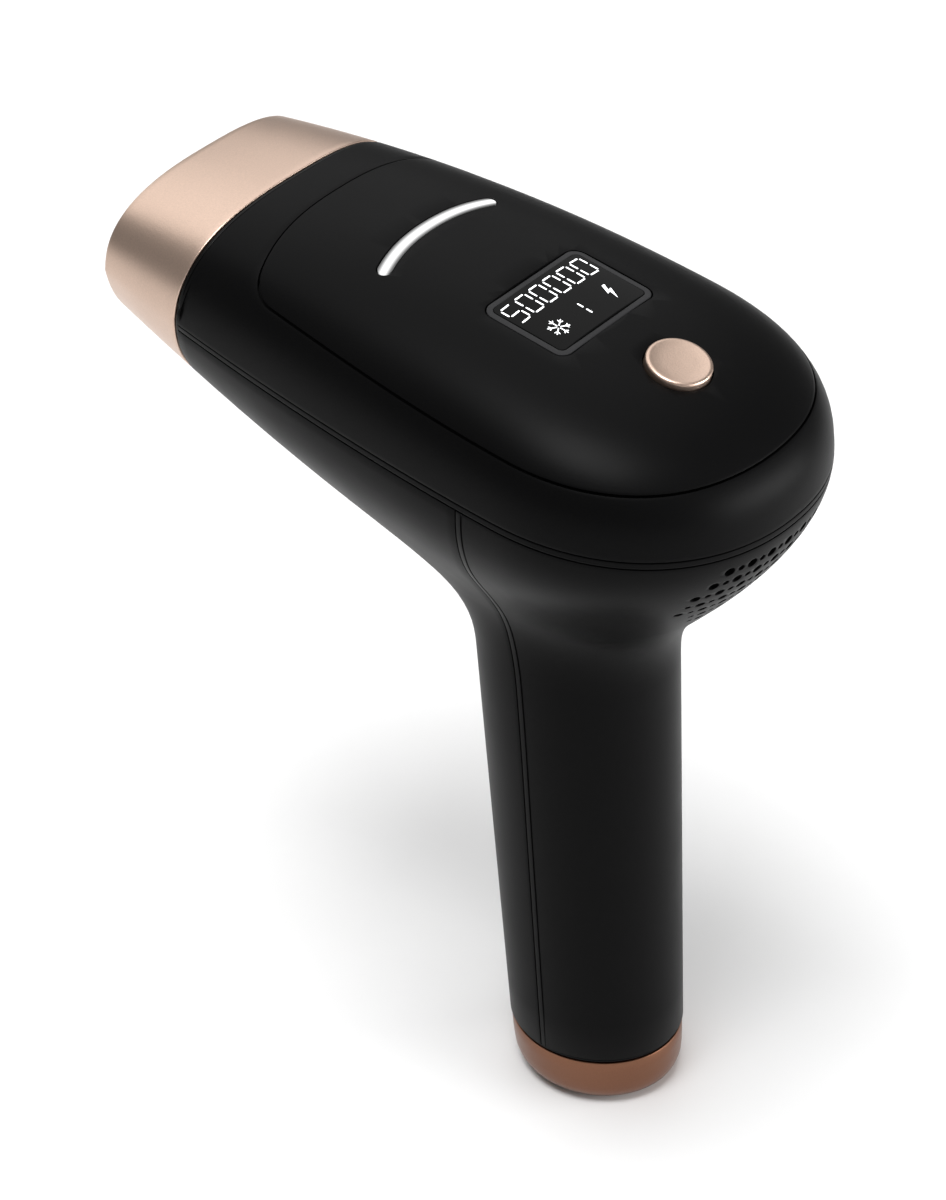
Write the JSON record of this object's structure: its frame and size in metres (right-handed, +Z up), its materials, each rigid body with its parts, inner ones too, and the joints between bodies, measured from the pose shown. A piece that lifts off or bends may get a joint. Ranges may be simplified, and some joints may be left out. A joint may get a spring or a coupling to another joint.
{
  "type": "ipl hair remover",
  "caption": "Pistol-shaped hand-held flash-lamp hair remover with an upright oval handle, a long rounded head, a lit display and bar on top, and a window at the nose.",
  "frame": {"origin": "centre of the handle's foot, on the plane that the object stands on", "axes": "+Z up the handle, -Y the way the flash window faces, X across the head; the object is symmetric about X = 0"},
  "size_m": [0.0732, 0.1438, 0.1866],
  "materials": {
    "soft_black": "soft-touch matte",
    "satin_black": "satin",
    "rose_gold": "champagne rose-gold metallic lacquer, satin",
    "copper": "copper metallic lacquer, satin",
    "dark_glass": "gloss",
    "sapphire": "polished",
    "lamp_quartz": "polished",
    "lit_lens": "frosted, lit from behind",
    "grey_plastic": "moulded",
    "steel": "bright",
    "aluminium": "machined",
    "circuit_board": "solder mask",
    "ceramic": "unglazed ceramic",
    "blue_sleeve": "shrink sleeve",
    "red_sleeve": "silicone lead"
  },
  "bodies": {
    "housing": {"upper_shell": "soft_black", "top_panel": "soft_black", "front_shell": "soft_black", "rear_shell": "soft_black", "parting_strip": "soft_black", "nozzle_shell": "rose_gold", "nozzle_seam_ring": "satin_black", "end_cap": "copper", "handle_ring": "satin_black", "display_window": "dark_glass", "display_bezel": "grey_plastic", "display_module": "grey_plastic", "light_bar": "lit_lens", "light_bar_board": "circuit_board", "main_board": "circuit_board", "board_screw_1": "steel", "board_screw_2": "steel", "board_screw_3": "steel", "board_screw_4": "steel", "button_spring": "steel", "button_switch": "satin_black", "window_frame": "satin_black", "flash_window": "sapphire", "skin_contact_left": "steel", "skin_contact_right": "steel", "cooling_plate": "aluminium", "peltier_cooler": "ceramic", "heat_sink": "aluminium", "filter_glass": "sapphire", "lamp_reflector": "aluminium", "flash_lamp": "lamp_quartz", "lamp_holder": "ceramic", "lamp_lead_left": "red_sleeve", "lamp_lead_right": "red_sleeve", "trigger_transformer": "red_sleeve", "fan_frame": "satin_black", "power_board": "circuit_board", "flash_capacitor": "blue_sleeve", "trigger_spring": "steel", "trigger_switch": "satin_black", "dc_jack": "satin_black", "supply_lead": "red_sleeve"},
    "button": {"power_button": "rose_gold"},
    "trigger": {"flash_trigger": "rose_gold"},
    "fan": {"fan_rotor": "grey_plastic"}
  },
  "joints": [
    {"name": "button_press", "type": "slide", "parent": "housing", "child": "button", "axis": [0, -0.29, -0.957], "range_m": [0, 0.0008], "stiffness_N_per_m": 900, "springref_m": -0.0004, "deforming": ["button_spring"]},
    {"name": "trigger_press", "type": "slide", "parent": "housing", "child": "trigger", "axis": [0, 1, 0], "range_m": [0, 0.0015], "stiffness_N_per_m": 900, "springref_m": -0.0004, "deforming": ["trigger_spring"]},
    {"name": "fan_spin", "type": "hinge", "parent": "housing", "child": "fan", "pos_m": [0, 0.013, 0.1455], "axis": [0, 1, 0], "continuous": true}
  ]
}
